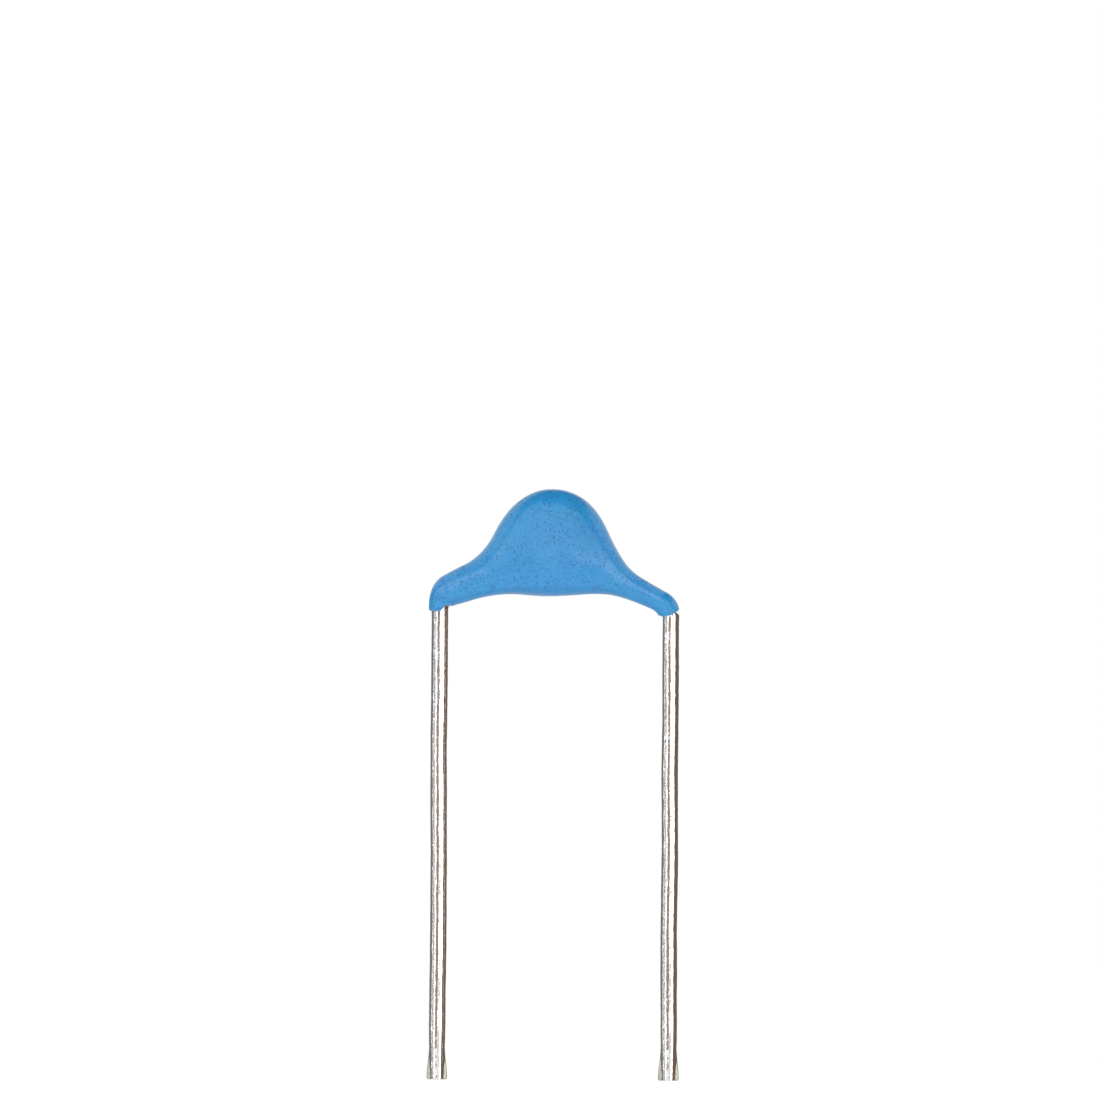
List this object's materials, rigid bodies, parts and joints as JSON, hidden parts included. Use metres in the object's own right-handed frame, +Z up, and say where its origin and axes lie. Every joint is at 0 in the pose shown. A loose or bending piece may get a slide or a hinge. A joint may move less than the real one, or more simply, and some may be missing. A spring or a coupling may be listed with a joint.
{
  "type": "ceramic disc capacitor",
  "caption": "Small ceramic disc capacitor dipped in blue epoxy, its domed body spreading to long parallel tinned wire leads for a through-hole circuit board.",
  "frame": {"origin": "on the circuit board's top face, midway between the centre lines of the two leads", "axes": "+Z up through the body, with the leads going down along -Z; +X from the left lead to the right lead; the disc's front face, where the left lead is soldered, looks along -Y"},
  "size_m": [0.0082, 0.0022, 0.0192],
  "materials": {
    "blue_epoxy": "dipped epoxy, satin gloss, with fine pinholes",
    "fired_ceramic": "fired barium titanate, matt",
    "silver_layer": "fired silver, satin",
    "solder": "smooth solder",
    "tinned_wire": "tin plating, drawn along the wire"
  },
  "bodies": {
    "root": {"coating": "blue_epoxy", "ceramic_disc": "fired_ceramic", "front_electrode": "silver_layer", "rear_electrode": "silver_layer", "front_solder": "solder", "rear_solder": "solder", "left_lead": "tinned_wire", "right_lead": "tinned_wire"}
  },
  "joints": []
}
